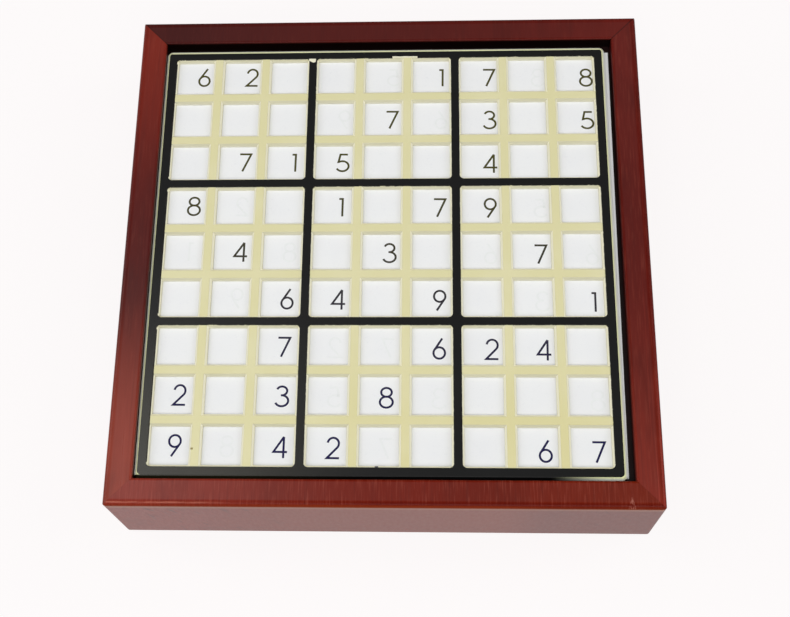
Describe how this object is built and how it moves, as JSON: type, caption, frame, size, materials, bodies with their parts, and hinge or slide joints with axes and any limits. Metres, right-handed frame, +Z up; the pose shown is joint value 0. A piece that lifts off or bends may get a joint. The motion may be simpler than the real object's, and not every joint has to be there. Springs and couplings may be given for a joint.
{
  "type": "sudoku board",
  "caption": "Square wooden sudoku board: mitred box, moulded cell grid laid over a printed puzzle sheet, and a drawer of number tiles.",
  "frame": {"origin": "centre of the underside of the box, on the surface that it stands on", "axes": "+Z up, +X to the player's right, +Y away from the player, towards the drawer front"},
  "size_m": [0.2412, 0.2552, 0.0533],
  "materials": {
    "mahogany": "gloss",
    "plain_wood": "matte",
    "grid_plastic": "satin",
    "tile_plastic": "satin",
    "paper": "matte",
    "brass": "polished",
    "steel": "satin"
  },
  "bodies": {
    "case": {"front_rail": "mahogany", "back_rail": "mahogany", "left_rail": "mahogany", "right_rail": "mahogany", "base_panel": "plain_wood", "tray_floor": "mahogany", "left_runner": "plain_wood", "right_runner": "plain_wood"},
    "grid": {"number_grid": "grid_plastic"},
    "sheets": {"puzzle_sheet": "paper", "spare_sheets": "paper"},
    "drawer": {"drawer_front": "mahogany", "drawer_left_side": "plain_wood", "drawer_right_side": "plain_wood", "drawer_back": "plain_wood", "drawer_bottom": "plain_wood", "drawer_knob": "brass", "knob_screw": "steel", "tiles_1": "tile_plastic", "tiles_2": "tile_plastic", "tiles_3": "tile_plastic", "tiles_4": "tile_plastic", "tiles_5": "tile_plastic", "tiles_6": "tile_plastic", "tiles_7": "tile_plastic", "tiles_8": "tile_plastic", "tiles_9": "tile_plastic"}
  },
  "joints": [
    {"name": "grid_lift", "type": "slide", "parent": "case", "child": "grid", "axis": [0, 0, 1], "range_m": [0, 0.06]},
    {"name": "sheets_lift", "type": "slide", "parent": "case", "child": "sheets", "axis": [0, 0, 1], "range_m": [0, 0.03]},
    {"name": "drawer_slide", "type": "slide", "parent": "case", "child": "drawer", "axis": [0, 1, 0], "range_m": [0, 0.17]}
  ],
  "couplings": [
    {"joint": "sheets_lift", "follows": "grid_lift", "ratio": 0.5}
  ]
}
